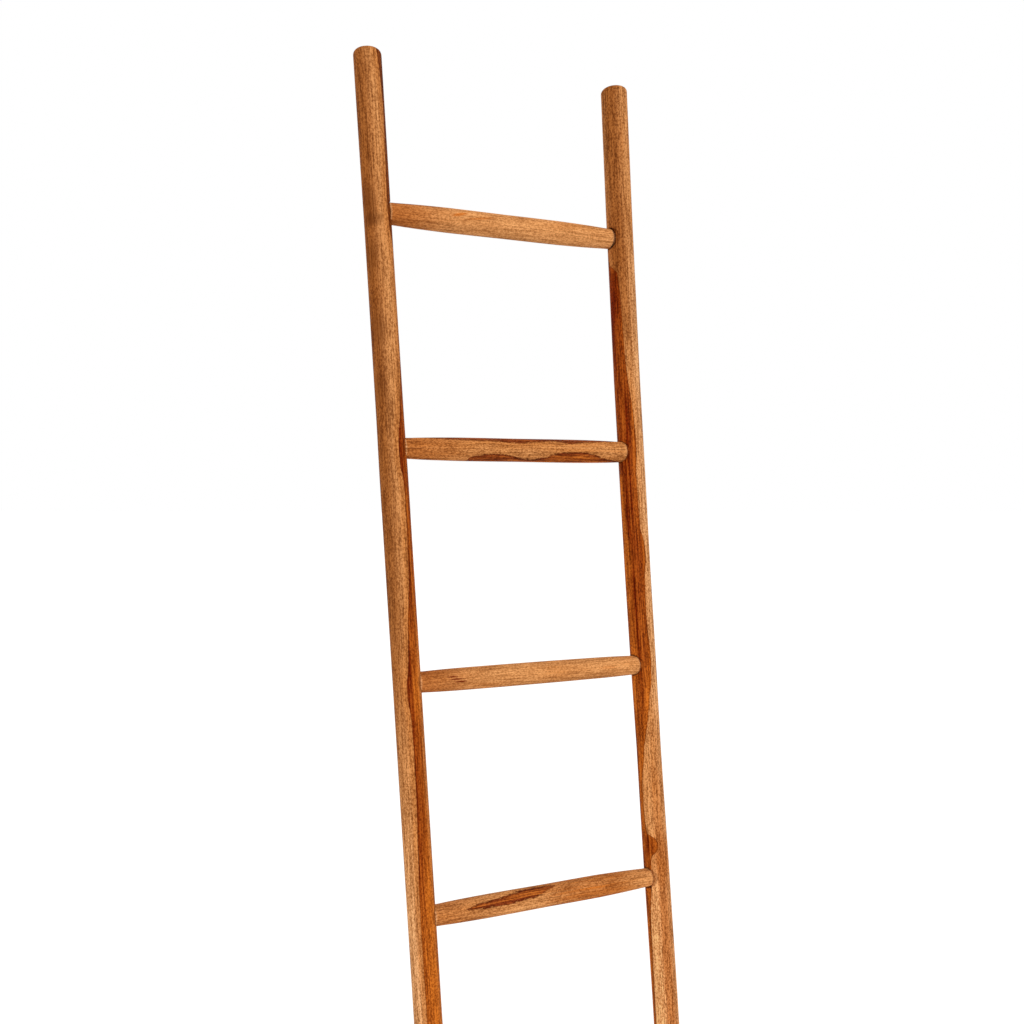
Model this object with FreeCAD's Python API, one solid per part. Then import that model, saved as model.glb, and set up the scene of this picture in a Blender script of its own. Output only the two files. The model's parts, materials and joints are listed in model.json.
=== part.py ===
"""Blanket ladder of round teak poles, leaning back as it stands against a wall.

X runs along the rungs, the ladder leans towards +Y (the wall side), +Z is up.
The floor is z = 0 and the origin is the bottom centre of the ladder's bounding box.
All sizes are in millimetres.
"""
import FreeCAD
import Part
import math
import os

# Overall sizes
LEAN_DEG = 8.5
RAIL_SPACING = 390.0
RAIL_R = 20.0
RAIL_LENGTH = 1800.0
RUNG_COUNT = 5
RUNG_PITCH = 330.0
TOP_OVERHANG = 232.0

# Rail ends: crowned top with a soft edge, foot cut level with the floor
CROWN_R = 100.0
TOP_EDGE_R = 5.0
FOOT_EDGE_R = 1.5
FOOT_STOCK = 12.0

# Rungs: round, fullest in the middle, easing down to the housing in each rail
RUNG_END_R = 15.5
RUNG_BELLY = 2.0
RUNG_SWELL = (
    (0.0, 0.0),
    (18.0, 0.60),
    (42.0, 1.25),
    (80.0, 1.72),
    (125.0, 1.94),
)

# Blind round joint: a shallow housing with an open ring round the rung's rounded end, and a
# deeper bore for its tenon
TENON_R = 11.0
HOUSING_DEPTH = 5.0
HOUSING_CLEARANCE = 0.8
RUNG_EDGE_R = 3.5
BORE_SIDE_WOOD = 11.0
BORE_RELIEF = 1.0
GLUE_LINE = 0.10

# Peg through each tenon, driven from the wall side and pared flush
PEG_R = 3.0
PEG_PAST_TENON = 1.0
PEG_CLEARANCE = 0.05

# Extra reach of a cutter beyond the surface that it starts from
CUTTER_REACH = 5.0

# Half lengths along the rungs: to the rail's face, the shoulder, the bore's end and the tenon's end
RAIL_X = RAIL_SPACING / 2.0
SPAN_END = RAIL_X - RAIL_R
SHOULDER_X = SPAN_END + HOUSING_DEPTH
BORE_X = RAIL_X + RAIL_R - BORE_SIDE_WOOD
TENON_X = BORE_X - BORE_RELIEF

UP = FreeCAD.Vector(0, 0, 1)
ALONG = FreeCAD.Vector(1, 0, 0)


def rung_height(number):
    """Height of a rung's axis along the rails, rung 1 being the top one."""
    return RAIL_LENGTH - TOP_OVERHANG - (number - 1) * RUNG_PITCH


def turned(edges, axis):
    """Solid of revolution from a closed profile that touches its axis."""
    face = Part.Face(Part.Wire(edges))
    solid = face.revolve(FreeCAD.Vector(0, 0, 0), axis, 360)
    if solid.Volume < 0:
        solid.reverse()
    return solid


def line(start, end):
    """Straight profile edge between two points."""
    return Part.LineSegment(start, end).toShape()


def arc(start, middle, end):
    """Circular profile edge through three points."""
    return Part.Arc(start, middle, end).toShape()


def rail_pole():
    """Whole round pole on the Z axis, with stock below z = 0 for the foot cut."""
    inner = RAIL_R - TOP_EDGE_R
    reach = CROWN_R - TOP_EDGE_R
    rise = math.sqrt(reach ** 2 - inner ** 2)
    crown_z = RAIL_LENGTH - CROWN_R
    edge_z = crown_z + rise
    join = math.atan2(rise, inner)

    def on_edge(angle):
        return FreeCAD.Vector(inner + TOP_EDGE_R * math.cos(angle), 0,
                              edge_z + TOP_EDGE_R * math.sin(angle))

    def on_crown(angle):
        return FreeCAD.Vector(CROWN_R * math.cos(angle), 0, crown_z + CROWN_R * math.sin(angle))

    bottom = FreeCAD.Vector(0, 0, -FOOT_STOCK)
    corner = FreeCAD.Vector(RAIL_R, 0, -FOOT_STOCK)
    top = FreeCAD.Vector(0, 0, RAIL_LENGTH)
    profile = [
        line(bottom, corner),
        line(corner, on_edge(0)),
        arc(on_edge(0), on_edge(join / 2.0), on_edge(join)),
        arc(on_edge(join), on_crown((join + math.pi / 2.0) / 2.0), top),
        line(top, bottom),
    ]
    return turned(profile, UP)


def peg_hole(side, number, clearance):
    """Peg's round in a rail, from just past the tenon's front to outside the wall side."""
    front = TENON_R + PEG_PAST_TENON
    start = FreeCAD.Vector(side * RAIL_X, -front, rung_height(number))
    length = front + RAIL_R + CUTTER_REACH
    return Part.makeCylinder(PEG_R + clearance, length, start, FreeCAD.Vector(0, 1, 0))


def rail(side):
    """Rail with the joints for every rung bored into its inner face."""
    pole = rail_pole()
    pole.translate(FreeCAD.Vector(side * RAIL_X, 0, 0))
    outward = FreeCAD.Vector(side, 0, 0)
    cutters = []
    for number in range(1, RUNG_COUNT + 1):
        height = rung_height(number)
        start_x = SPAN_END - CUTTER_REACH
        mouth = FreeCAD.Vector(side * start_x, 0, height)
        housing = SHOULDER_X - start_x
        bore = BORE_X - start_x
        cutters.append(Part.makeCylinder(RUNG_END_R + HOUSING_CLEARANCE, housing, mouth, outward))
        cutters.append(Part.makeCylinder(TENON_R + GLUE_LINE, bore, mouth, outward))
        cutters.append(peg_hole(side, number, PEG_CLEARANCE))
    return pole.cut(cutters)


def rung(number):
    """Rung with a shoulder and tenon on both ends and a peg hole in each tenon."""
    swell = [FreeCAD.Vector(SPAN_END - s, 0, RUNG_END_R + rise) for s, rise in RUNG_SWELL]
    middle = FreeCAD.Vector(0, 0, RUNG_END_R + RUNG_BELLY)
    mirrored = [FreeCAD.Vector(-p.x, 0, p.z) for p in reversed(swell)]
    curve = Part.BSplineCurve()
    curve.interpolate(swell + [middle] + mirrored)
    edge_r = min(RUNG_EDGE_R, 0.8 * (RUNG_END_R - TENON_R), 0.8 * HOUSING_DEPTH)
    edge_x = SHOULDER_X - edge_r
    edge_z = RUNG_END_R - edge_r

    def rounded_end(side):
        """Profile of one end, from the axis out to where the swelling body starts."""
        def at(x, z):
            return FreeCAD.Vector(side * x, 0, z)

        half = edge_r * math.sqrt(0.5)
        return [
            line(at(TENON_X, 0), at(TENON_X, TENON_R)),
            line(at(TENON_X, TENON_R), at(SHOULDER_X, TENON_R)),
            line(at(SHOULDER_X, TENON_R), at(SHOULDER_X, edge_z)),
            arc(at(SHOULDER_X, edge_z), at(edge_x + half, edge_z + half), at(edge_x, RUNG_END_R)),
            line(at(edge_x, RUNG_END_R), at(SPAN_END, RUNG_END_R)),
        ]

    profile = rounded_end(1) + [curve.toShape()] + list(reversed(rounded_end(-1)))
    profile.append(line(FreeCAD.Vector(-TENON_X, 0, 0), FreeCAD.Vector(TENON_X, 0, 0)))
    body = turned(profile, ALONG)
    body.translate(FreeCAD.Vector(0, 0, rung_height(number)))
    return body.cut([peg_hole(side, number, PEG_CLEARANCE) for side in (-1, 1)])


def peg(side, number):
    """Peg in its hole, its outer end pared to the round of the rail."""
    pole = rail_pole()
    pole.translate(FreeCAD.Vector(side * RAIL_X, 0, 0))
    return peg_hole(side, number, 0.0).common(pole)


def lean(shape):
    """Tip an upright shape back about the floor line."""
    return shape.rotated(FreeCAD.Vector(0, 0, 0), ALONG, -LEAN_DEG)


def foot_cut(shape):
    """Cut a leaning rail level with the floor and ease the foot's edge."""
    below = Part.makeBox(2000, 2000, 100, FreeCAD.Vector(-1000, -1000, -100))
    level = shape.cut(below)
    on_floor = [e for e in level.Edges if e.BoundBox.ZMax < 0.01]
    return level.makeFillet(FOOT_EDGE_R, on_floor)


shapes = {}
for name, side in (("left", -1), ("right", 1)):
    shapes[name + "_rail"] = foot_cut(lean(rail(side)))
for number in range(1, RUNG_COUNT + 1):
    shapes["rung_%d" % number] = lean(rung(number))
for name, side in (("left", -1), ("right", 1)):
    for number in range(1, RUNG_COUNT + 1):
        shapes["%s_peg_%d" % (name, number)] = lean(peg(side, number))

extent = shapes["left_rail"].optimalBoundingBox(True, False)
shift = FreeCAD.Vector(0, -(extent.YMin + extent.YMax) / 2.0, 0)

os.makedirs("parts", exist_ok=True)
for name, shape in shapes.items():
    placed = shape.translated(shift)
    solid = placed.Solids[0]
    print("%-13s solids %d valid %s volume %.0f mm3" % (
        name, len(placed.Solids), solid.isValid(), solid.Volume))
    solid.exportStep("parts/%s.step" % name)

print("height %.2f depth %.2f to %.2f, floor line at y %.3f" % (
    extent.ZMax, extent.YMin + shift.y, extent.YMax + shift.y, shift.y))
for number in range(1, RUNG_COUNT + 1):
    along = rung_height(number)
    angle = math.radians(LEAN_DEG)
    print("rung %d axis y %.3f z %.3f" % (
        number, along * math.sin(angle) + shift.y, along * math.cos(angle)))
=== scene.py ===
import json
import math
import bmesh
import bpy
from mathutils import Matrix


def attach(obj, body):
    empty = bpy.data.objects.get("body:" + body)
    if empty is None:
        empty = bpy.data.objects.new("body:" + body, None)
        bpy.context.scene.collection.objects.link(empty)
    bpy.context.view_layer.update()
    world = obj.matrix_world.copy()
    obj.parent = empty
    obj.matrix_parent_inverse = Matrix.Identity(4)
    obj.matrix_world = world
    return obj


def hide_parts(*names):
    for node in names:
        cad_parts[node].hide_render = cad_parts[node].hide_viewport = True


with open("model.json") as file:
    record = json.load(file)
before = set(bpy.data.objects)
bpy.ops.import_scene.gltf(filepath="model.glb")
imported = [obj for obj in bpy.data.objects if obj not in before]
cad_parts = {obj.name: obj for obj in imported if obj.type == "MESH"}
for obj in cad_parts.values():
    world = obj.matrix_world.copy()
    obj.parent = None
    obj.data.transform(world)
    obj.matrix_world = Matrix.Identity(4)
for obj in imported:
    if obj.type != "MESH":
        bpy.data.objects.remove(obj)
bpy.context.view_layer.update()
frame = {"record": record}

# The viewpoint: to the left of the ladder and a little above its third rung, looking slightly
# down and across to the right. Its place and turn were fitted to the photograph's edges; the
# focal length and the row of the picture's centre were chosen.
CAMERA_PLACE = (-0.6727, -1.3744, 1.1649)
CAMERA_TURN = math.radians(24.95)
CAMERA_DIP = math.radians(8.075)
FOCAL_PIXELS = 1050.0
FRAME_PIXELS = 1024.0
CENTRE_ROW = 640.0
SENSOR_MM = 36.0
VIEW_DEPTH = 60.0

bpy.ops.object.select_all(action="DESELECT")
bpy.ops.object.camera_add(location=CAMERA_PLACE, rotation=(math.pi / 2 - CAMERA_DIP, 0, -CAMERA_TURN))
camera = bpy.context.object
camera.name = "viewpoint"
camera.data.sensor_width = SENSOR_MM
camera.data.lens = SENSOR_MM * FOCAL_PIXELS / FRAME_PIXELS
camera.data.shift_y = (CENTRE_ROW - FRAME_PIXELS / 2) / FRAME_PIXELS
camera.data.clip_end = VIEW_DEPTH
bpy.context.scene.camera = camera
bpy.context.scene.view_settings.view_transform = "Standard"

# The studio: a plain white floor that still takes the ladder's shadow, a white surround, and
# one broad soft light from the front left and above, a little to the right of the viewpoint.
FLOOR_SIZE = 400.0
FLOOR_WHITE = 0.86
FLOOR_ROUGHNESS = 0.9
FLOOR_LIFT = 0.50
SURROUND_LIGHT = 0.64
KEY_STRENGTH = 1.32
KEY_SPREAD = math.radians(40)
KEY_FROM = (-0.36, -1.0, 0.24)

bpy.ops.object.select_all(action="DESELECT")
bpy.ops.mesh.primitive_plane_add(size=FLOOR_SIZE, location=(0, 0, 0))
floor = bpy.context.object
floor.name = "studio_floor"


def seen_ray(tree):
    """1 for what the eye, a gloss or a glass sees of the studio, 0 for the light it sends."""
    path = tree.nodes.new("ShaderNodeLightPath")
    total = path.outputs["Is Camera Ray"]
    for kind in ("Is Glossy Ray", "Is Transmission Ray"):
        either = tree.nodes.new("ShaderNodeMath")
        either.operation = "MAXIMUM"
        tree.links.new(total, either.inputs[0])
        tree.links.new(path.outputs[kind], either.inputs[1])
        total = either.outputs[0]
    return total


paint = bpy.data.materials.new("studio_white")
paint.use_nodes = True
shader = paint.node_tree.nodes["Principled BSDF"]
shader.inputs["Base Color"].default_value = (FLOOR_WHITE, FLOOR_WHITE, FLOOR_WHITE, 1)
shader.inputs["Roughness"].default_value = FLOOR_ROUGHNESS
shader.inputs["Specular IOR Level"].default_value = 0.0
shader.inputs["Emission Color"].default_value = (1, 1, 1, 1)
lift = paint.node_tree.nodes.new("ShaderNodeMath")
lift.operation = "MULTIPLY"
lift.inputs[1].default_value = FLOOR_LIFT
paint.node_tree.links.new(seen_ray(paint.node_tree), lift.inputs[0])
paint.node_tree.links.new(lift.outputs[0], shader.inputs["Emission Strength"])
floor.data.materials.append(paint)

surround = bpy.data.worlds.new("studio_surround")
bpy.context.scene.world = surround
surround.use_nodes = True
sky = surround.node_tree.nodes["Background"]
sky.inputs["Color"].default_value = (1, 1, 1, 1)
strength = surround.node_tree.nodes.new("ShaderNodeMapRange")
strength.inputs["To Min"].default_value = SURROUND_LIGHT
strength.inputs["To Max"].default_value = 1.0
surround.node_tree.links.new(seen_ray(surround.node_tree), strength.inputs["Value"])
surround.node_tree.links.new(strength.outputs["Result"], sky.inputs["Strength"])

bpy.ops.object.light_add(
    type="SUN", location=KEY_FROM,
    rotation=(math.atan2(math.hypot(KEY_FROM[0], KEY_FROM[1]), KEY_FROM[2]), 0,
              math.atan2(KEY_FROM[0], -KEY_FROM[1])))
key = bpy.context.object
key.name = "key_light"
key.data.energy = KEY_STRENGTH
key.data.angle = KEY_SPREAD

# The rails: two round teak poles, each with a little sweep and an uneven girth of its own. Tops
# are crowned with a soft edge, feet are sawn level with the floor, and the inner faces are
# bored for the rungs and the backs for the pegs.
RAIL_R = 0.020
RAIL_LENGTH = 1.800
RAIL_SIDES = 96
LEAN = math.radians(8.5)
CROWN_R = 0.100
TOP_EDGE_R = 0.005
LEFT_LENGTH = 1.7930
RIGHT_LENGTH = 1.8026
FOOT_STOCK = 0.012
FOOT_EDGE = 0.0015
RUNG_FROM_TOP = 0.232
RUNG_PITCH = 0.330
RUNG_COUNT = 5
RUNG_END_R = 0.0155
TENON_R = 0.011
HOUSING_DEPTH = 0.005
HOUSING_R = RUNG_END_R + 0.0008
BORE_SIDE_WOOD = 0.011
PEG_R = 0.003
PEG_PAST_TENON = 0.001
JOINT_GAP = 0.0002
CUTTER_REACH = 0.006
RING_STEP = 0.018
FINE_RING_STEP = 0.006
FINE_RING_REACH = 0.026
TOP_RESERVE = 0.026
CROWN_STEPS = 6
CROWN_SHARES = (0.6, 0.3, 0.1)
SOCKET_SIDES = 64
PEG_SIDES = 24
SMOOTH_ANGLE = math.radians(32)
SAME_PLACE = 1e-5

mounts = {mount["name"]: mount["pos_m"] for mount in frame["record"]["mounts"]}
FLOOR_Y = mounts["left_foot"][1]
RAIL_X = mounts["right_foot"][0]
rung_heights = [RAIL_LENGTH - RUNG_FROM_TOP - k * RUNG_PITCH for k in range(RUNG_COUNT)]


def between(points, at):
    """Value at a height from a short list of (height, value), read along straight lines."""
    for (low, first), (high, second) in zip(points, points[1:]):
        if at <= high:
            return first + (second - first) * max(0.0, at - low) / (high - low)
    return points[-1][1]


def pick(piece, wanted):
    """In edit mode, select only the faces that a test on (centre, normal) accepts."""
    bm = bmesh.from_edit_mesh(piece.data)
    for face in bm.faces:
        face.select_set(False)
    for face in bm.faces:
        if wanted(face.calc_center_median(), face.normal):
            face.select_set(True)
    bm.select_flush_mode()
    bmesh.update_edit_mesh(piece.data)


def pick_edges(piece, wanted):
    """In edit mode, select only the edges that a test on an edge accepts."""
    bm = bmesh.from_edit_mesh(piece.data)
    for part in list(bm.verts) + list(bm.edges) + list(bm.faces):
        part.select_set(False)
    for edge in bm.edges:
        if wanted(edge):
            edge.select_set(True)
    bmesh.update_edit_mesh(piece.data)


def lean_back(piece):
    """Tip an upright piece back on the floor line and leave its place in its mesh."""
    bpy.ops.object.select_all(action="DESELECT")
    piece.select_set(True)
    bpy.context.view_layer.objects.active = piece
    piece.rotation_euler = (-LEAN, 0, 0)
    piece.location = (0, FLOOR_Y, 0)
    bpy.ops.object.transform_apply(location=True, rotation=True, scale=True)


def cut_with(piece, cutter):
    """Take the cutter's shape out of the piece and throw the cutter away."""
    bpy.ops.object.select_all(action="DESELECT")
    piece.select_set(True)
    bpy.context.view_layer.objects.active = piece
    bore = piece.modifiers.new("bore", "BOOLEAN")
    bore.operation = "DIFFERENCE"
    bore.solver = "EXACT"
    bore.object = cutter
    bpy.ops.object.modifier_apply(modifier="bore")
    bpy.data.objects.remove(cutter, do_unlink=True)


def crown_rings(length, neck):
    """(height, radius) rings of a crowned top with a soft edge, from its neck upwards."""
    inner = RAIL_R - TOP_EDGE_R
    rise = math.sqrt((CROWN_R - TOP_EDGE_R) ** 2 - inner ** 2)
    base = length - CROWN_R
    join = math.atan2(rise, inner)
    rings = []
    for step in range(CROWN_STEPS + 1):
        angle = join * step / CROWN_STEPS
        rings.append((base + rise + TOP_EDGE_R * math.sin(angle), inner + TOP_EDGE_R * math.cos(angle)))
    for share in CROWN_SHARES:
        radius = inner * share
        rings.append((base + math.sqrt(CROWN_R ** 2 - radius ** 2), radius))
    return [(height, radius * neck / RAIL_R) for height, radius in rings]


def rail_pole(name, side, sweep, girth, length):
    """Upright pole drawn up from its foot, ring by ring, along its sweep."""
    heights = [0.0]
    while heights[-1] < length - TOP_RESERVE:
        near = min(abs(heights[-1] + FINE_RING_STEP - h) for h in rung_heights)
        heights.append(heights[-1] + (FINE_RING_STEP if near < FINE_RING_REACH else RING_STEP))
    bpy.ops.object.select_all(action="DESELECT")
    foot = RAIL_R * between(girth, 0.0)
    bpy.ops.mesh.primitive_cylinder_add(
        vertices=RAIL_SIDES, radius=foot, depth=FOOT_STOCK, end_fill_type="NGON",
        location=(side * RAIL_X, 0, -FOOT_STOCK / 2))
    piece = bpy.context.object
    piece.name = name
    piece.data.name = name
    bpy.ops.object.transform_apply(location=True)
    bpy.ops.object.mode_set(mode="EDIT")
    pick(piece, lambda centre, normal: normal.z > 0.9)
    last_x, last_r, last_h = side * RAIL_X, foot, 0.0
    rings = [(h, RAIL_R * between(girth, h)) for h in heights[1:]]
    rings += crown_rings(length, rings[-1][1])
    for height, radius in rings:
        x = side * (RAIL_X + between(sweep, height))
        bpy.ops.mesh.extrude_region_move(
            TRANSFORM_OT_translate={"value": (x - last_x, 0, height - last_h)})
        share = radius / last_r
        bpy.ops.transform.resize(value=(share, share, 1), center_override=(x, 0, height))
        last_x, last_r, last_h = x, radius, height
    bpy.ops.object.mode_set(mode="OBJECT")
    return piece


def rung_sockets(side, sweep):
    """Stepped cutters for a rail's inner face: a housing for each rung's end, then its bore."""
    bpy.ops.object.select_all(action="DESELECT")
    start = RAIL_X - RAIL_R - CUTTER_REACH
    depth = HOUSING_DEPTH + CUTTER_REACH
    cutters = []
    for height in rung_heights:
        shift = between(sweep, height)
        middle = side * (start + depth / 2 + shift)
        bpy.ops.mesh.primitive_cylinder_add(
            vertices=SOCKET_SIDES, radius=HOUSING_R, depth=depth,
            location=(middle, 0, height), rotation=(0, math.pi / 2, 0))
        cutter = bpy.context.object
        bpy.ops.object.transform_apply(location=True, rotation=True)
        bpy.ops.object.mode_set(mode="EDIT")
        pick(cutter, lambda centre, normal: normal.x * side > 0.9)
        bpy.ops.mesh.inset(thickness=HOUSING_R - TENON_R - JOINT_GAP)
        bore = side * (2 * RAIL_R - HOUSING_DEPTH - BORE_SIDE_WOOD)
        bpy.ops.mesh.extrude_region_move(TRANSFORM_OT_translate={"value": (bore, 0, 0)})
        bpy.ops.object.mode_set(mode="OBJECT")
        cutters.append(cutter)
    for cutter in cutters:
        cutter.select_set(True)
    bpy.context.view_layer.objects.active = cutters[0]
    bpy.ops.object.join()
    return cutters[0]


def peg_drills(side, sweep, radius):
    """Drills for the pegs, from just past each tenon's front to outside the back."""
    bpy.ops.object.select_all(action="DESELECT")
    front = TENON_R + PEG_PAST_TENON
    depth = front + RAIL_R + CUTTER_REACH
    drills = []
    for height in rung_heights:
        x = side * (RAIL_X + between(sweep, height))
        bpy.ops.mesh.primitive_cylinder_add(
            vertices=PEG_SIDES, radius=radius, depth=depth,
            location=(x, depth / 2 - front, height), rotation=(math.pi / 2, 0, 0))
        bpy.ops.object.transform_apply(location=True, rotation=True)
        drills.append(bpy.context.object)
    for drill in drills:
        drill.select_set(True)
    bpy.context.view_layer.objects.active = drills[0]
    bpy.ops.object.join()
    return drills[0]


def saw_foot(piece):
    """Saw a leaning rail level with the floor and ease the sawn edge."""
    bpy.ops.object.mode_set(mode="EDIT")
    bpy.ops.mesh.select_all(action="SELECT")
    bpy.ops.mesh.bisect(plane_co=(0, 0, 0), plane_no=(0, 0, 1), use_fill=True, clear_inner=True)
    pick_edges(piece, lambda edge: all(abs(end.co.z) < SAME_PLACE for end in edge.verts))
    bpy.ops.mesh.bevel(offset=FOOT_EDGE, segments=3, affect="EDGES")
    bpy.ops.mesh.select_all(action="SELECT")
    bpy.ops.mesh.normals_make_consistent(inside=False)
    bpy.ops.object.mode_set(mode="OBJECT")
    bpy.ops.object.shade_smooth_by_angle(angle=SMOOTH_ANGLE)


def rail(name, node, side, sweep, girth, length):
    """A whole rail: pole, sockets and peg holes, leant back and sawn at the foot."""
    piece = rail_pole(name, side, sweep, girth, length)
    cut_with(piece, rung_sockets(side, sweep))
    cut_with(piece, peg_drills(side, sweep, PEG_R + JOINT_GAP / 2))
    lean_back(piece)
    saw_foot(piece)
    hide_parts(node)
    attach(piece, "root")
    return piece


# sweep outwards in metres, and girth as a share of the pole's, by height along it: measured on
# the photograph, then thinned and rounded
LEFT_SWEEP = ((0.0, 0.0), (1.8, 0.0))
LEFT_GIRTH = ((0.0, 1.0), (1.20, 1.0), (1.28, 0.97), (1.55, 0.96), (1.70, 0.98), (1.8, 0.99))
RIGHT_SWEEP = (
    (0.0, 0.0), (0.40, 0.0), (0.70, -0.0015), (1.05, -0.002), (1.35, 0.0), (1.60, 0.004), (1.8, 0.0085),
)
RIGHT_GIRTH = ((0.0, 0.98), (0.60, 0.98), (0.78, 0.94), (0.92, 0.99), (1.20, 1.01), (1.8, 1.01))
left_rail = rail("rail_left", "left_rail", -1, LEFT_SWEEP, LEFT_GIRTH, LEFT_LENGTH)
right_rail = rail("rail_right", "right_rail", 1, RIGHT_SWEEP, RIGHT_GIRTH, RIGHT_LENGTH)

# Teak as these poles show it: pale tan sapwood, a thin dark line, then red-brown heartwood that
# fades to orange, with growth rings round an off-centre pith, long streaks and fine dark pores.
# It is oiled to a low sheen. Lengths inside the material are in metres along the grain (z).
SAP_LIGHT = (0.860, 0.385, 0.140, 1)
SAP_PALE = (0.740, 0.345, 0.135, 1)
SAP_TAN = (0.690, 0.290, 0.094, 1)
SAP_ROSE = (0.520, 0.175, 0.040, 1)
VEIN_BROWN = (0.430, 0.115, 0.018, 1)
DULL_BROWN = (0.290, 0.082, 0.014, 1)
BARK_BROWN = (0.140, 0.036, 0.006, 1)
HEART_DARK = (0.175, 0.015, 0.0006, 1)
HEART_ORANGE = (0.545, 0.133, 0.0125, 1)
LINE_DARK = (0.085, 0.012, 0.0008, 1)
FACE_SPAN = 1.2
SWEEP_SPAN = 0.010
WOOD_SHEEN = 0.02


class Wires:
    """Short hand for adding wired nodes to one material."""

    def __init__(self, tree):
        self.tree = tree

    def put(self, kind, inputs=None, **settings):
        """One node, its inputs given as numbers or as other nodes' outputs."""
        node = self.tree.nodes.new(kind)
        for name, value in settings.items():
            setattr(node, name, value)
        for key, value in (inputs or {}).items():
            if isinstance(value, bpy.types.NodeSocket):
                self.tree.links.new(value, node.inputs[key])
            else:
                node.inputs[key].default_value = value
        return node

    def calc(self, operation, first, second=0.0, third=0.0):
        """One sum."""
        return self.put("ShaderNodeMath", {0: first, 1: second, 2: third}, operation=operation).outputs[0]

    def step(self, value, low, high, start=0.0, end=1.0):
        """A smooth step from start to end as value goes from low to high."""
        node = self.put("ShaderNodeMapRange", {
            "Value": value, "From Min": low, "From Max": high, "To Min": start, "To Max": end},
            interpolation_type="SMOOTHSTEP")
        return node.outputs["Result"]

    def noise(self, vector, scale, detail=2.0, roughness=0.5):
        """Even random variation, 0 to 1."""
        node = self.put("ShaderNodeTexNoise", {
            "Vector": vector, "Scale": scale, "Detail": detail, "Roughness": roughness})
        return node.outputs["Fac"]

    def mix(self, amount, first, second, blend="MIX"):
        """Two colours mixed."""
        node = self.put("ShaderNodeMix", {0: amount, 6: first, 7: second}, data_type="RGBA",
                        blend_type=blend, clamp_result=True)
        return node.outputs[2]

    def stretch(self, vector, scale, place=(0, 0, 0), turn=(0, 0, 0)):
        """A point turned, scaled and moved."""
        node = self.put("ShaderNodeMapping", {
            "Vector": vector, "Location": place, "Rotation": turn, "Scale": scale})
        return node.outputs["Vector"]

    def line(self, value, points, low=-FACE_SPAN, high=FACE_SPAN):
        """Height of a smooth line drawn through (place, height) points, read at a place."""
        first = points[0][0]
        length = points[-1][0] - first
        spots = [((at - first) / length, (level - low) / (high - low)) for at, level in points]
        along = self.calc("DIVIDE", self.calc("SUBTRACT", value, first), length)
        node = self.put("ShaderNodeFloatCurve", {"Value": along})
        drawn = node.mapping.curves[0].points
        drawn[0].location = spots[0]
        drawn[1].location = spots[-1]
        for spot in spots[1:-1]:
            drawn.new(*spot)
        node.mapping.extend = "HORIZONTAL"
        node.mapping.update()
        return self.calc("MULTIPLY_ADD", node.outputs[0], high - low, low)


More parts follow.
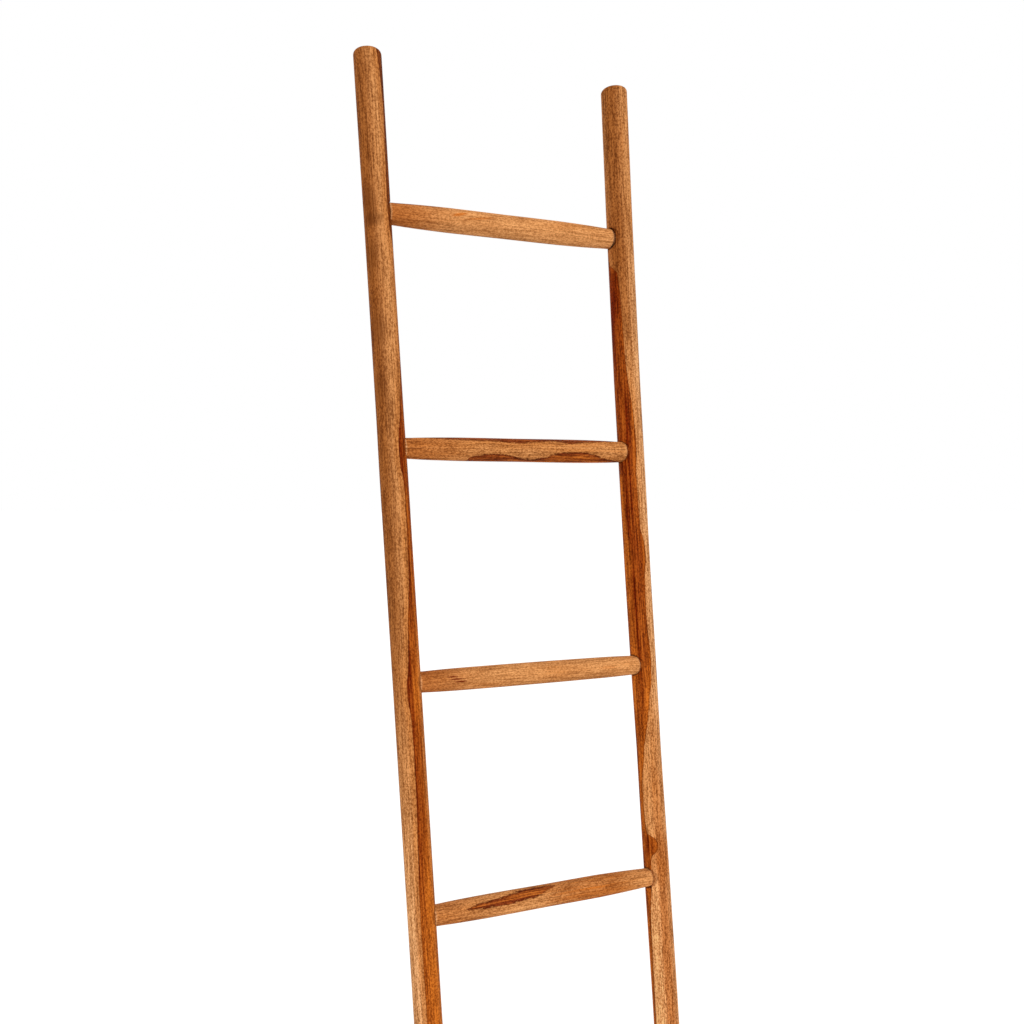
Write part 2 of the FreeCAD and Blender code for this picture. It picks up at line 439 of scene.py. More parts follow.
class Wood:
    """The grain of one piece of teak: where each point lies in it, and its fine figure."""

    def __init__(self, name, place, turn, grain_axis, pith, radius, seed, sweep=None):
        self.material = bpy.data.materials.new(name)
        self.material.use_nodes = True
        tree = self.material.node_tree
        self.shader = tree.nodes["Principled BSDF"]
        self.wires = w = Wires(tree)
        coordinates = w.put("ShaderNodeTexCoord")
        self.local = w.stretch(coordinates.outputs["Object"], (1, 1, 1), place, turn)
        self.x, self.y, self.z = w.put("ShaderNodeSeparateXYZ", {"Vector": self.local}).outputs
        if sweep:
            self.x = w.calc("SUBTRACT", self.x, w.line(self.z, sweep, -SWEEP_SPAN, SWEEP_SPAN))
            self.local = w.put("ShaderNodeCombineXYZ", {0: self.x, 1: self.y, 2: self.z}).outputs[0]
        self.shifted = w.stretch(self.local, (1, 1, 1), (seed * 0.37, seed * 0.11, seed * 0.71))

        # distance from the pith, and the place across the face that it gives, -1 to 1
        reach = math.hypot(*pith)
        dx = w.calc("SUBTRACT", self.x, pith[0])
        dy = w.calc("SUBTRACT", self.y, pith[1])
        squared = w.calc("ADD", w.calc("MULTIPLY", dx, dx), w.calc("MULTIPLY", dy, dy))
        slow = w.stretch(self.shifted, (28, 28, 3.2))
        wander = w.calc("SUBTRACT", w.noise(slow, 1.0, 3.0, 0.55), 0.5)
        depth = w.calc("MULTIPLY_ADD", wander, 0.0030, w.calc("SQRT", squared))
        self.across = w.calc("DIVIDE", w.calc("SUBTRACT", reach ** 2 + radius ** 2, squared),
                             2 * reach * radius)

        # growth rings and finer streaks, drawn out along the grain, then pores and speckle
        rings = w.put("ShaderNodeCombineXYZ", {
            0: w.calc("MULTIPLY", depth, 300.0), 1: w.calc("MULTIPLY", self.z, 5.0), 2: seed * 3.1})
        self.rings = w.noise(rings.outputs[0], 1.0, 3.0, 0.62)
        streaks = w.put("ShaderNodeCombineXYZ", {
            0: w.calc("MULTIPLY", depth, 750.0), 1: w.calc("MULTIPLY", self.z, 22.0), 2: seed * 1.7})
        self.streaks = w.noise(streaks.outputs[0], 1.0, 3.0, 0.65)
        self.pores = w.noise(w.stretch(self.shifted, (1500, 1500, 150)), 1.0, 2.0, 0.6)
        self.speckle = w.noise(w.stretch(self.shifted, (480, 480, 300)), 1.0, 2.0, 0.75)
        self.cloud = w.noise(w.stretch(self.shifted, (30, 30, 9)), 1.0, 3.0, 0.55)
        ragged = w.noise(w.stretch(self.shifted, (160, 160, 40)), 1.0, 3.0, 0.6)
        self.ragged = w.calc("SUBTRACT", ragged, 0.5)
        frayed = w.noise(w.stretch(self.shifted, (900, 900, 110)), 1.0, 3.0, 0.65)
        self.frayed = w.calc("SUBTRACT", frayed, 0.5)
        facing = w.put("ShaderNodeVectorMath", {0: coordinates.outputs["Normal"], 1: grain_axis},
                       operation="DOT_PRODUCT")
        self.end_grain = w.step(w.calc("ABSOLUTE", facing.outputs["Value"]), 0.55, 0.95)

    def sapwood(self, lean=0.5):
        """Pale ground colour with slow warmer clouds in it, fewer where lean is higher."""
        w = self.wires
        warm = w.calc("MULTIPLY_ADD", self.rings, 0.5, w.calc("MULTIPLY", self.cloud, 0.7))
        return w.mix(w.step(w.calc("SUBTRACT", warm, lean), -0.08, 0.34), SAP_TAN, SAP_ROSE)

    def patch(self, colour, centre, size, strength, tone, fray=0.9, tilt=(0, 0, 0), spots=0.0):
        """An egg-shaped stain or fleck of a colour, with a frayed edge, broken into spots."""
        w = self.wires
        moved = w.put("ShaderNodeVectorMath", {0: self.local, 1: centre}, operation="SUBTRACT")
        turned = w.put("ShaderNodeVectorRotate", {"Vector": moved.outputs[0], "Rotation": tilt},
                       rotation_type="EULER_XYZ")
        scaled = w.put("ShaderNodeVectorMath", {0: turned.outputs[0], 1: size}, operation="DIVIDE")
        span = w.put("ShaderNodeVectorMath", {0: scaled.outputs[0]}, operation="LENGTH")
        away = w.calc("MULTIPLY_ADD", self.frayed, fray, span.outputs["Value"])
        dots = w.step(self.speckle, 0.40, 0.60, strength * (1.0 - spots), strength * (1.0 + spots))
        return w.mix(w.calc("MULTIPLY", w.step(away, 1.15, 0.35), dots), colour, tone)

    def heartwood(self, colour, inside, ripeness, dark=0.0, rose=0.0, veins=1.4, fray=0.06, rim=0.6,
                  strength=1.0):
        """Heartwood where inside is above 0, ripening from red-brown to orange away from its edge."""
        w = self.wires
        inside = w.calc("MULTIPLY_ADD", self.ragged, 0.08, inside)
        inside = w.calc("MULTIPLY_ADD", self.frayed, fray, inside)
        inside = w.calc("MULTIPLY_ADD", w.calc("SUBTRACT", self.streaks, 0.5), fray, inside)
        colour = w.mix(w.calc("MULTIPLY", w.step(inside, -0.46, -0.14), rose), colour, SAP_ROSE)
        ripe = w.calc("SUBTRACT", w.line(inside, ripeness, 0.0, 1.0), dark)
        ripe = w.calc("MULTIPLY_ADD", w.calc("SUBTRACT", self.rings, 0.5), veins, ripe)
        ripe = w.calc("MULTIPLY_ADD", w.calc("SUBTRACT", self.streaks, 0.5), veins / 2, ripe)
        heart = w.mix(w.calc("MAXIMUM", ripe, 0.0), HEART_DARK, HEART_ORANGE)
        colour = w.mix(w.step(inside, -0.02, 0.03, 0.0, strength), colour, heart)
        edge = w.calc("MULTIPLY", w.step(inside, -0.02, 0.02), w.step(inside, 0.11, 0.03))
        return w.mix(w.calc("MULTIPLY", edge, rim), colour, LINE_DARK)

    def finish(self, colour, contrast=1.0):
        """Rings, streaks, pores and speckle over the ground colour, oiled to a low sheen."""
        w = self.wires
        tone = w.step(self.rings, 0.32, 0.68, 1.0 - 0.20 * contrast, 1.0 + 0.20 * contrast)
        tone = w.calc("MULTIPLY", tone,
                      w.step(self.streaks, 0.33, 0.67, 1.0 - 0.38 * contrast, 1.0 + 0.38 * contrast))
        pores = w.step(self.pores, 0.56, 0.70)
        tone = w.calc("MULTIPLY", tone, w.calc("MULTIPLY_ADD", pores, -0.36 * contrast, 1.05))
        tone = w.calc("MULTIPLY", tone,
                      w.step(self.speckle, 0.36, 0.64, 1.0 - 0.38 * contrast, 1.0 + 0.40 * contrast))
        tone = w.calc("MULTIPLY", tone, w.calc("MULTIPLY_ADD", self.end_grain, -0.28, 1.0))
        tone = w.calc("MINIMUM", tone, 1.5)
        shade = w.put("ShaderNodeCombineXYZ", {
            0: w.calc("POWER", tone, 0.9), 1: w.calc("POWER", tone, 1.15), 2: w.calc("POWER", tone, 1.45)})
        colour = w.mix(1.0, colour, shade.outputs[0], "MULTIPLY")
        self.material.node_tree.links.new(colour, self.shader.inputs["Base Color"])
        rough = w.step(self.pores, 0.40, 0.75, 0.50, 0.68)
        self.material.node_tree.links.new(rough, self.shader.inputs["Roughness"])
        self.shader.inputs["Specular IOR Level"].default_value = WOOD_SHEEN
        relief = w.calc("MULTIPLY_ADD", pores, -0.7, w.calc("MULTIPLY", self.streaks, 0.5))
        bump = w.put("ShaderNodeBump", {"Height": relief, "Strength": 0.30, "Distance": 0.0004})
        self.material.node_tree.links.new(bump.outputs["Normal"], self.shader.inputs["Normal"])
        return self.material


UPRIGHT_GRAIN = (0, math.sin(LEAN), math.cos(LEAN))
PITH_REACH = 0.060
RUNG_PITH_REACH = 0.045

# the viewpoint in the ladder's own axes: how far in front of it, and how far up along the rails
EYE_FRONT = (CAMERA_PLACE[2] * math.sin(LEAN)
             - (CAMERA_PLACE[1] - FLOOR_Y) * math.cos(LEAN))
EYE_ALONG = (CAMERA_PLACE[2] * math.cos(LEAN)
             + (CAMERA_PLACE[1] - FLOOR_Y) * math.sin(LEAN))


def rail_pith(x):
    """Pith of a rail, beyond the right edge of the face that the viewpoint sees."""
    aside = CAMERA_PLACE[0] - x
    away = math.hypot(aside, EYE_FRONT)
    return (PITH_REACH * EYE_FRONT / away, PITH_REACH * aside / away)


def upright_place(x):
    """Mapping that takes Object coordinates to a rail's own axis with the lean taken out."""
    back = -FLOOR_Y
    return (-x, back * math.cos(LEAN), back * math.sin(LEAN))


# the poles' figure by height along them: the heartwood's border as a place across the face, -1
# to 1, measured on the photograph, then thinned and rounded; the other lists were set from
# the photograph's average tones
LEFT_BORDER = (
    (0.0, 0.10), (0.45, -0.12), (0.60, -0.13), (0.68, 0.0), (0.77, 0.12), (0.86, 0.10), (0.89, -0.07),
    (0.93, 0.12), (1.00, 0.32), (1.07, 0.57), (1.18, 0.62), (1.22, 0.43), (1.28, 0.64), (1.34, 0.85),
    (1.45, 1.02), (1.52, 0.90), (1.56, 0.70), (1.70, 0.82), (1.76, 0.72), (1.8, 0.35),
)
RIGHT_BORDER = (
    (0.0, -0.95), (0.45, -0.80), (0.52, -0.72), (0.57, -0.50), (0.61, -0.42), (0.63, 0.20), (0.645, -0.55),
    (0.69, -0.72), (0.76, -0.48), (0.82, 0.0), (0.86, 0.28), (0.92, 0.55), (0.97, 0.42), (1.04, 0.47),
    (1.08, 0.62), (1.12, 0.34), (1.20, 0.27), (1.24, 0.38), (1.29, 0.28), (1.35, 0.0), (1.40, -0.15),
    (1.45, -0.20), (1.51, -0.38), (1.54, -1.05), (1.8, -1.15),
)
LEFT_DULL = (
    (0.0, 0.0), (0.56, 0.0), (0.73, 0.26), (0.91, 0.64), (1.0, 0.85), (1.30, 0.95), (1.60, 0.97),
    (1.8, 0.88),
)
LEFT_RIPENESS = (
    (0.0, 0.22), (0.08, 0.24), (0.18, 0.34), (0.30, 0.38), (0.45, 0.50), (0.60, 0.78), (0.9, 1.0),
    (1.8, 1.0),
)
LEFT_DARK = (
    (0.0, -0.42), (0.50, -0.42), (0.62, -0.10), (0.70, 0.08), (0.90, 0.08), (1.0, -0.06), (1.15, -0.12),
    (1.22, 0.14), (1.30, 0.0), (1.8, 0.0),
)
RIGHT_RIPENESS = (
    (0.0, 0.44), (0.20, 0.42), (0.45, 0.25), (0.80, 0.18), (1.0, 0.30), (1.25, 0.75), (1.5, 0.9),
    (2.2, 0.9),
)
RIGHT_DARK = (
    (0.0, -0.36), (0.58, -0.36), (0.62, -0.12), (0.84, -0.32), (0.95, -0.12), (1.05, 0.0), (1.38, 0.0),
    (1.48, 0.19), (1.8, 0.26),
)
RIGHT_REACH = (
    (0.0, 1.9), (0.88, 1.9), (0.93, 1.12), (0.99, 1.12), (1.03, 1.9), (1.185, 1.9), (1.205, 0.92),
    (1.8, 0.92),
)
DARK_SPAN = 0.5
LEFT_BORDER_SHIFT = 0.04
RIGHT_BORDER_SHIFT = 0.07
BROAD_RAGGED = 0.35
# the left pole's stains: centre, size and strength of each
LEFT_STAINS = (
    ((-0.0150, -0.0130, 1.552), (0.022, 0.014, 0.012), 0.66),
    ((-0.0160, -0.0100, 1.578), (0.018, 0.014, 0.030), 0.36),
    ((-0.0170, -0.0110, 1.500), (0.014, 0.012, 0.030), 0.30),
    ((-0.0160, -0.0130, 1.400), (0.016, 0.012, 0.034), 0.30),
    ((-0.0170, -0.0110, 1.320), (0.014, 0.012, 0.024), 0.26),
)


def socket_tone_and_shade(wood, side, colour):
    """Fresher wood inside each housing, with painted shade in a ring round its rim and where its floor
    meets the tenon.
    """
    w = wood.wires
    near = w.calc("PINGPONG", w.calc("SUBTRACT", wood.z, rung_heights[-1]), RUNG_PITCH / 2)
    away = w.calc("SQRT", w.calc("ADD", w.calc("MULTIPLY", near, near), w.calc("MULTIPLY", wood.y, wood.y)))
    inner = w.step(w.calc("MULTIPLY", wood.x, float(-side)), -0.002, 0.004)
    # painted shade: a thin dark ring on the rail round each housing's rim, standing for the shadow in the
    # gap at the rung's end
    rim = w.step(w.calc("MULTIPLY_ADD", wood.frayed, 0.002, away), HOUSING_R + 0.0020, HOUSING_R + 0.0002)
    colour = w.mix(w.calc("MULTIPLY", w.calc("MULTIPLY", rim, inner), 0.45), colour, LINE_DARK)
    fresh = w.step(away, HOUSING_R - 0.0001, HOUSING_R - 0.0006)
    colour = w.mix(w.calc("MULTIPLY", w.calc("MULTIPLY", fresh, inner), 0.30), colour, VEIN_BROWN)
    # painted shade: darker where the housing's floor meets the tenon, standing for the shadow in that
    # recess
    corner_shade = w.step(away, TENON_R + 0.0024, TENON_R + 0.0012)
    return w.mix(w.calc("MULTIPLY", w.calc("MULTIPLY", corner_shade, inner), 0.85), colour, LINE_DARK)


def left_wood():
    """Left pole: dull brown down its outer side, heartwood on its inner side."""
    wood = Wood("teak_left_rail", upright_place(-RAIL_X), (LEAN, 0, 0), UPRIGHT_GRAIN,
                rail_pith(-RAIL_X), RAIL_R, seed=1.0)
    w = wood.wires
    edge = w.calc("MULTIPLY_ADD", wood.ragged, BROAD_RAGGED, wood.across)
    dull = w.calc("MULTIPLY", w.step(edge, 0.78, -0.58), w.line(wood.z, LEFT_DULL, 0.0, 1.0))
    colour = w.mix(dull, wood.sapwood(w.step(wood.z, 0.80, 0.42, 0.58, 0.95)), DULL_BROWN)
    colour = w.mix(w.step(wood.z, 0.80, 0.50, 0.0, 0.75), colour, SAP_PALE)
    for centre, size, strength in LEFT_STAINS:
        colour = wood.patch(colour, centre, size, strength, BARK_BROWN, fray=1.4, spots=0.80)
    inside = w.calc("SUBTRACT", wood.across, LEFT_BORDER_SHIFT)
    inside = w.calc("SUBTRACT", inside, w.line(wood.z, LEFT_BORDER))
    dark = w.line(wood.z, LEFT_DARK, -DARK_SPAN, DARK_SPAN)
    colour = wood.heartwood(colour, inside, LEFT_RIPENESS, dark, rose=0.85, veins=1.5, fray=0.10, rim=0.45)
    light = w.calc("MULTIPLY", w.step(wood.across, 0.72, 1.0), w.step(wood.z, 1.02, 0.90))
    light = w.calc("MULTIPLY", light, w.step(wood.z, 0.58, 0.70))
    colour = w.mix(w.calc("MULTIPLY", light, 0.40), colour, SAP_TAN)
    outer = w.calc("MULTIPLY", w.step(edge, 0.62, 1.0), w.step(wood.z, 1.02, 0.88))
    colour = w.mix(w.calc("MULTIPLY", outer, 0.40), colour, SAP_ROSE)
    bark = w.calc("MULTIPLY", w.step(inside, 0.0, 0.05), w.step(wood.z, 1.40, 1.53))
    colour = w.mix(w.calc("MULTIPLY", bark, 0.60), colour, BARK_BROWN)
    return wood.finish(socket_tone_and_shade(wood, -1, colour))


def right_wood():
    """Right pole: heartwood down its inner side, with a second orange vein low down."""
    wood = Wood("teak_right_rail", upright_place(RAIL_X), (LEAN, 0, 0), UPRIGHT_GRAIN,
                rail_pith(RAIL_X), RAIL_R, seed=2.0, sweep=RIGHT_SWEEP)
    w = wood.wires
    edge = w.calc("MULTIPLY_ADD", wood.ragged, BROAD_RAGGED, wood.across)
    high = w.step(wood.z, 1.30, 1.45)
    dull = w.calc("MULTIPLY", w.step(edge, 1.05, -0.15), w.step(edge, -1.05, -0.55, 0.20, 1.0))
    dull = w.calc("MULTIPLY", dull, high)
    colour = wood.sapwood(w.step(wood.z, 0.62, 0.50, 0.50, 0.95))
    colour = w.mix(w.step(wood.z, 0.62, 0.52, 0.0, 0.9), colour, SAP_LIGHT)
    pale = w.calc("MULTIPLY", w.step(wood.z, 1.60, 1.50, 0.05, 0.85),
                  w.step(wood.z, 0.78, 0.92, 0.60, 1.0))
    colour = w.mix(w.calc("MULTIPLY", w.step(edge, 0.30, 0.90), pale), colour, SAP_PALE)
    colour = w.mix(w.calc("MULTIPLY", dull, 0.92), colour, DULL_BROWN)
    vein = w.calc("MULTIPLY_ADD", wood.ragged, 0.4, w.calc("SUBTRACT", wood.across, 0.31))
    vein = w.calc("MAXIMUM", w.calc("MULTIPLY", vein, -1.0), w.calc("MULTIPLY", vein, 0.50))
    vein = w.calc("MULTIPLY", w.step(vein, 0.44, 0.10), w.step(wood.z, 0.93, 0.50))
    colour = w.mix(w.calc("MULTIPLY", vein, 0.80), colour, VEIN_BROWN)
    colour = wood.patch(colour, (0.0, -0.0190, 0.610), (0.018, 0.016, 0.050), 0.65, VEIN_BROWN,
                        fray=1.2)
    across = w.calc("SUBTRACT", wood.across, RIGHT_BORDER_SHIFT)
    inside = w.calc("SUBTRACT", w.line(wood.z, RIGHT_BORDER), across)
    inside = w.calc("MINIMUM", inside, w.line(wood.z, RIGHT_REACH, 0.0, 2.0))
    dark = w.line(wood.z, RIGHT_DARK, -DARK_SPAN, DARK_SPAN)
    rim = w.step(wood.z, 0.80, 0.66, 0.38, 0.70)
    colour = wood.heartwood(colour, inside, RIGHT_RIPENESS, dark, rose=0.15, veins=1.5, fray=0.08, rim=rim)
    return wood.finish(socket_tone_and_shade(wood, 1, colour), contrast=1.15)


left_rail.data.materials.append(left_wood())
right_rail.data.materials.append(right_wood())

# The rungs: turned teak, fullest in the middle and easing down to a housed, shouldered end
# with a round tenon on it in each rail. All are copies of one pattern, and each is then
# brought to a thickness of its own.
RUNG_SIDES = 64
RUNG_SWELL = ((0.0, 0.0), (0.010, 0.0002), (0.018, 0.0006), (0.030, 0.00095), (0.042, 0.00125),
              (0.060, 0.00152), (0.080, 0.00172), (0.125, 0.00194), (0.175, 0.0020))
SPAN_END = RAIL_X - RAIL_R
SHOULDER_X = SPAN_END + HOUSING_DEPTH
BORE_RELIEF = 0.001
TENON_X = RAIL_X + RAIL_R - BORE_SIDE_WOOD - BORE_RELIEF
RUNG_EDGE_R = 0.0035
TENON_EDGE = 0.001
ABOVE_TENON = TENON_R + 1e-4
ROUNDING_STEPS = 5
BODY_STEPS = 44
# thickness as a share of the pattern's at five places along each rung: measured on the
# photograph and rounded, but for the fifth rung, which it doesn't show
GIRTH_PLACES = (-1.0, -0.5, 0.0, 0.5, 1.0)
RUNG_GIRTH = (
    (0.95, 0.98, 0.96, 0.98, 0.95),
    (0.94, 0.97, 0.96, 1.00, 1.01),
    (0.97, 0.95, 0.945, 0.94, 0.95),
    (0.98, 0.98, 0.95, 0.98, 0.91),
    (0.96, 0.98, 0.97, 0.97, 0.96),
)


def rung_pattern():
    """The pattern rung, lying on the X axis: tenon, shoulder, swelling body, shoulder, tenon."""
    bpy.ops.object.select_all(action="DESELECT")
    length = TENON_X - SHOULDER_X
    bpy.ops.mesh.primitive_cylinder_add(
        vertices=RUNG_SIDES, radius=TENON_R, depth=length, end_fill_type="NGON",
        location=(-SHOULDER_X - length / 2, 0, 0), rotation=(0, math.pi / 2, 0))
    piece = bpy.context.object
    bpy.ops.object.transform_apply(location=True, rotation=True)
    bpy.ops.object.mode_set(mode="EDIT")
    pick(piece, lambda centre, normal: normal.x > 0.9)
    rounding = []
    for step in range(ROUNDING_STEPS + 1):
        angle = math.pi / 2 * step / ROUNDING_STEPS
        rounding.append((SHOULDER_X - RUNG_EDGE_R + RUNG_EDGE_R * math.cos(angle),
                         RUNG_END_R - RUNG_EDGE_R + RUNG_EDGE_R * math.sin(angle)))
    stations = [(-x, radius) for x, radius in rounding]
    for k in range(BODY_STEPS + 1):
        x = -SPAN_END + 2 * SPAN_END * k / BODY_STEPS
        stations.append((x, RUNG_END_R + between(RUNG_SWELL, SPAN_END - abs(x))))
    stations += list(reversed(rounding))
    stations += [(SHOULDER_X, TENON_R), (TENON_X, TENON_R)]
    last_x, last_r = -SHOULDER_X, TENON_R
    for x, radius in stations:
        bpy.ops.mesh.extrude_region_move(TRANSFORM_OT_translate={"value": (x - last_x, 0, 0)})
        share = radius / last_r
        bpy.ops.transform.resize(value=(1, share, share), center_override=(x, 0, 0))
        last_x, last_r = x, radius
    pick_edges(piece, lambda edge: all(abs(abs(end.co.x) - TENON_X) < SAME_PLACE for end in edge.verts))
    bpy.ops.mesh.bevel(offset=TENON_EDGE, segments=2, affect="EDGES")
    bpy.ops.mesh.select_all(action="SELECT")
    bpy.ops.mesh.normals_make_consistent(inside=False)
    bpy.ops.object.mode_set(mode="OBJECT")
    return piece


def sand_down(piece, girth):
    """Bring a copy of the pattern to its own thickness, ring by ring along its length."""
    bpy.ops.object.mode_set(mode="EDIT")
    bm = bmesh.from_edit_mesh(piece.data)
    wood = [v for v in bm.verts if math.hypot(v.co.y, v.co.z) > ABOVE_TENON]
    places = sorted({round(v.co.x, 5) for v in wood})
    for x in places:
        bm = bmesh.from_edit_mesh(piece.data)
        for vertex in bm.verts:
            out = math.hypot(vertex.co.y, vertex.co.z)
            vertex.select_set(out > ABOVE_TENON and abs(vertex.co.x - x) < SAME_PLACE)
        bm.select_flush_mode()
        bmesh.update_edit_mesh(piece.data)
        share = between(girth, max(-1.0, min(1.0, x / SPAN_END)))
        bpy.ops.transform.resize(value=(1, share, share), center_override=(x, 0, 0))
    bpy.ops.object.mode_set(mode="OBJECT")


pattern = rung_pattern()
rungs = []
for number, (height, girth) in enumerate(zip(rung_heights, RUNG_GIRTH), 1):
    bpy.ops.object.select_all(action="DESELECT")
    pattern.select_set(True)
    bpy.context.view_layer.objects.active = pattern
    bpy.ops.object.duplicate(linked=False)
    piece = bpy.context.object
    piece.name = "round_%d" % number
    sand_down(piece, tuple(zip(GIRTH_PLACES, girth)))
    piece.location = (0, 0, height)
    bpy.ops.object.transform_apply(location=True)
    lean_back(piece)
    bpy.ops.object.shade_smooth_by_angle(angle=SMOOTH_ANGLE)
    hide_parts("rung_%d" % number)
    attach(piece, "root")
    rungs.append(piece)
bpy.data.objects.remove(pattern, do_unlink=True)

# the darker figures in the rungs: outlines as (place along, height up the face) points, measured
# on the photograph, then thinned and rounded
SECOND_LOW_FIGURE = (
    (-0.085, -1.10), (-0.075, -0.55), (-0.045, -0.38), (-0.02, -0.50), (0.01, -0.76), (0.035, -0.66),
    (0.06, -0.26), (0.095, -0.15), (0.115, -0.30), (0.14, -0.62), (0.19, -1.0),
)
SECOND_TOP_FIGURE = (
    (-0.16, 1.0), (-0.10, 0.82), (-0.04, 0.71), (-0.01, 0.61), (0.05, 0.80), (0.08, 0.66), (0.13, 0.88),
    (0.19, 1.0),
)
FOURTH_LOW_EDGE = (
    (-0.14, 0.30), (-0.13, -0.05), (-0.11, -0.17), (-0.04, -0.06), (-0.02, 0.08), (0.0, 0.45),
    (0.022, 0.90),
)
FOURTH_HIGH_EDGE = (
    (-0.14, -0.10), (-0.12, 0.20), (-0.08, 0.46), (-0.04, 0.78), (-0.01, 0.83), (0.022, 0.60),
)
FIGURE_GROWTH = 0.07
FIGURE_RIPENESS = ((0.0, 0.0), (0.10, 0.12), (0.25, 0.36), (0.6, 0.50))
# one value for each rung, from the top: share of pale sapwood, darkness of the left end, contrast
SAP_LEAN = (0.62, 0.44, 0.58, 0.56, 0.60)
DARKER_END = (0.80, 0.65, 0.75, 0.45, 0.50)
RUNG_CONTRAST = (0.74, 1.05, 0.76, 0.92, 0.85)
RUNG_FACE_R = RUNG_END_R + 0.0018
FIRST_SEED = 3.0
# the third rung's flecks: place along, height up the face and length of each
THIRD_FLECKS = ((-0.131, 0.0045, 0.011), (-0.126, 0.0010, 0.013), (-0.119, -0.0030, 0.012))


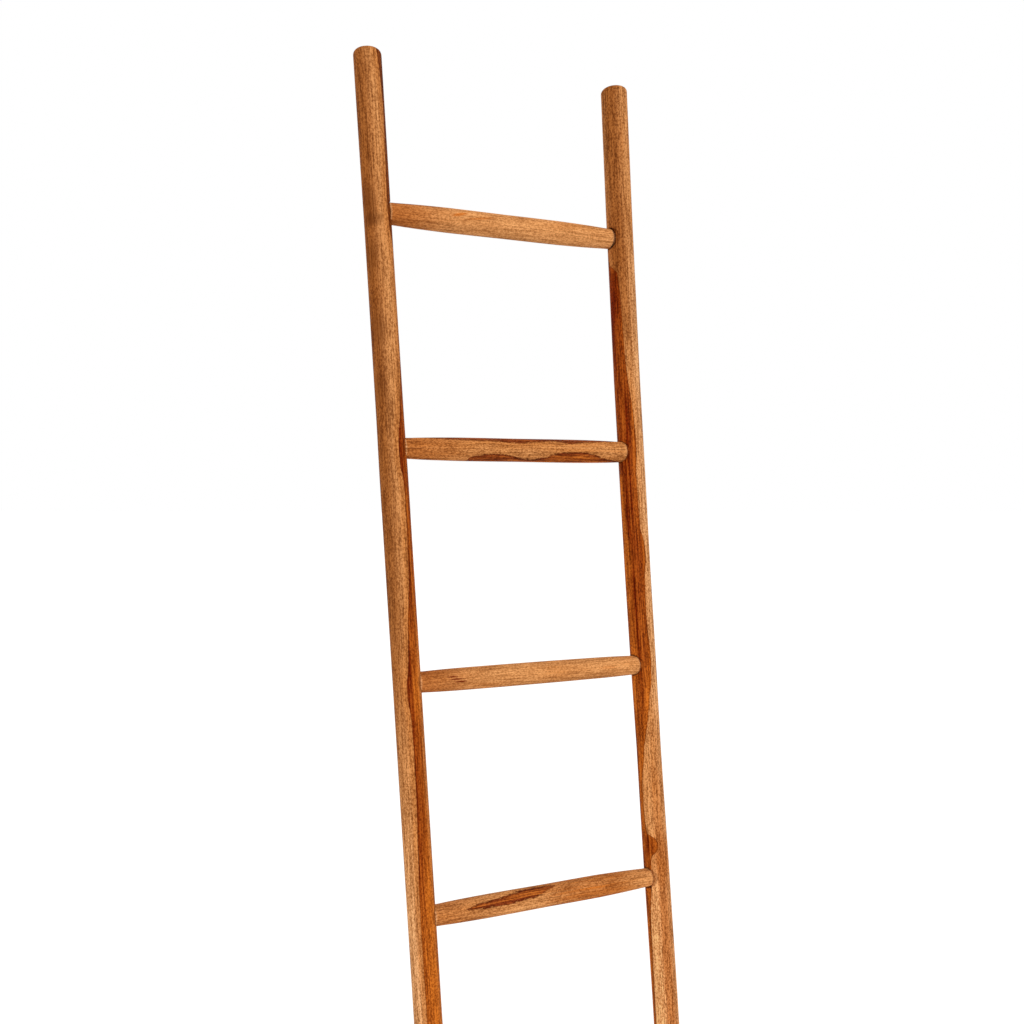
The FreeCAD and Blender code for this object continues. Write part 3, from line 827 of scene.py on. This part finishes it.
def rung_wood(number, height):
    """One rung's wood: pale and even, with the figure that its own stick happens to have."""
    tilt = math.atan2(height - EYE_ALONG, EYE_FRONT)
    wood = Wood("teak_rung_%d" % number,
                (height + FLOOR_Y * math.sin(LEAN), -FLOOR_Y * math.cos(LEAN), 0.0),
                (LEAN, -math.pi / 2, 0), (1, 0, 0),
                (-RUNG_PITH_REACH * math.cos(tilt), -RUNG_PITH_REACH * math.sin(tilt)),
                RUNG_FACE_R, seed=FIRST_SEED + number)
    w = wood.wires
    colour = wood.sapwood(SAP_LEAN[number - 1])
    place = w.calc("MULTIPLY_ADD", wood.ragged, 0.05, wood.z)
    darker = w.calc("MULTIPLY", w.step(place, -0.06, -0.17), DARKER_END[number - 1])
    colour = w.mix(darker, colour, VEIN_BROWN)
    if number == 1:
        colour = wood.patch(colour, (-0.0040, -0.0168, -0.076), (0.0030, 0.004, 0.016), 0.85,
                            HEART_ORANGE, tilt=(0, 0.25, 0))
        colour = wood.patch(colour, (-0.0010, -0.0172, -0.045), (0.0020, 0.004, 0.030), 0.55,
                            HEART_ORANGE, tilt=(0, 0.15, 0))
    if number == 2:
        inside = w.calc("SUBTRACT", w.line(wood.z, SECOND_LOW_FIGURE), wood.across)
        inside = w.calc("ADD", inside, FIGURE_GROWTH)
        colour = wood.heartwood(colour, inside, FIGURE_RIPENESS, dark=0.10, rose=0.3, veins=3.2,
                                fray=0.50, rim=0.95, strength=0.88)
        inside = w.calc("SUBTRACT", wood.across, w.line(wood.z, SECOND_TOP_FIGURE))
        colour = wood.heartwood(colour, inside, FIGURE_RIPENESS, dark=0.2, rose=0.3, veins=2.0,
                                fray=0.45, rim=0.7, strength=0.84)
    if number == 3:
        for along, up, length in THIRD_FLECKS:
            colour = wood.patch(colour, (-up, -0.0170, along), (0.0017, 0.004, length), 0.95, HEART_DARK)
        colour = wood.patch(colour, (0.0, -0.0170, 0.122), (0.0030, 0.004, 0.020), 0.30, HEART_ORANGE)
    if number == 4:
        low = w.calc("SUBTRACT", wood.across, w.line(wood.z, FOURTH_LOW_EDGE))
        high = w.calc("SUBTRACT", w.line(wood.z, FOURTH_HIGH_EDGE), wood.across)
        inside = w.calc("MINIMUM", low, high)
        colour = wood.heartwood(colour, inside, FIGURE_RIPENESS, dark=0.26, rose=0.3, veins=3.2,
                                fray=0.50, rim=0.95, strength=0.90)
        place = w.calc("MULTIPLY_ADD", wood.ragged, 0.06, wood.z)
        warm = w.calc("MULTIPLY", w.step(place, -0.03, 0.03), w.step(wood.z, 0.165, 0.10))
        warm = w.calc("MULTIPLY", warm, w.step(wood.rings, 0.36, 0.60, 0.25, 0.80))
        colour = w.mix(warm, colour, VEIN_BROWN)
        colour = wood.patch(colour, (-0.0035, -0.0172, 0.070), (0.0020, 0.004, 0.040), 0.45,
                            HEART_ORANGE, tilt=(0, -0.05, 0))
    along = w.calc("ABSOLUTE", wood.z)
    # a pale band on each rounded end: paler wood there, and partly a painted highlight where the rounding
    # faces the light
    colour = w.mix(w.step(along, SPAN_END + 0.0018, SPAN_END + 0.0032, 0.0, 0.80), colour, SAP_PALE)
    # painted shade: a dark line at each shoulder, standing for the shadow where the rung's end meets the
    # floor of its housing
    colour = w.mix(w.step(along, SHOULDER_X - 0.0007, SHOULDER_X - 0.0001, 0.0, 0.75), colour, LINE_DARK)
    return wood.finish(colour, RUNG_CONTRAST[number - 1])


for number, (piece, height) in enumerate(zip(rungs, rung_heights), 1):
    piece.data.materials.append(rung_wood(number, height))

# The pegs: short teak dowels from the wall side that lock each tenon, pared off all but flush
# with the round of the rail. The photograph doesn't show them.
PEG_PROUD = 0.0003
PEG_EDGE = 0.0004


def peg_teak():
    """One darker teak for all the pegs, its grain along them."""
    wood = Wood("teak_peg", (0, 0, 0), (LEAN + math.pi / 2, 0, 0), (0, math.cos(LEAN), -math.sin(LEAN)),
                (0.010, 0.006), PEG_R, seed=9.0)
    return wood.finish(wood.wires.mix(0.6, SAP_ROSE, DULL_BROWN))


def peg(side, word, number, height, sweep):
    """A peg from just past its tenon's front to the back of its rail."""
    bpy.ops.object.select_all(action="DESELECT")
    front = TENON_R + PEG_PAST_TENON
    depth = front + RAIL_R + PEG_PROUD
    x = side * (RAIL_X + between(sweep, height))
    bpy.ops.mesh.primitive_cylinder_add(
        vertices=PEG_SIDES, radius=PEG_R, depth=depth, end_fill_type="NGON",
        location=(x, depth / 2 - front, height), rotation=(math.pi / 2, 0, 0))
    piece = bpy.context.object
    piece.name = "peg_%s_%d" % (word, number)
    bpy.ops.object.transform_apply(location=True, rotation=True)
    bpy.ops.object.mode_set(mode="EDIT")
    pick_edges(piece, lambda edge: abs(edge.verts[0].co.y - edge.verts[1].co.y) < SAME_PLACE)
    bpy.ops.mesh.bevel(offset=PEG_EDGE, segments=2, affect="EDGES")
    bpy.ops.object.mode_set(mode="OBJECT")
    lean_back(piece)
    bpy.ops.object.shade_smooth_by_angle(angle=SMOOTH_ANGLE)
    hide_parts("%s_peg_%d" % (word, number))
    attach(piece, "root")
    return piece


peg_material = peg_teak()
for side, word, sweep in ((-1, "left", LEFT_SWEEP), (1, "right", RIGHT_SWEEP)):
    for number, height in enumerate(rung_heights, 1):
        peg(side, word, number, height, sweep).data.materials.append(peg_material)
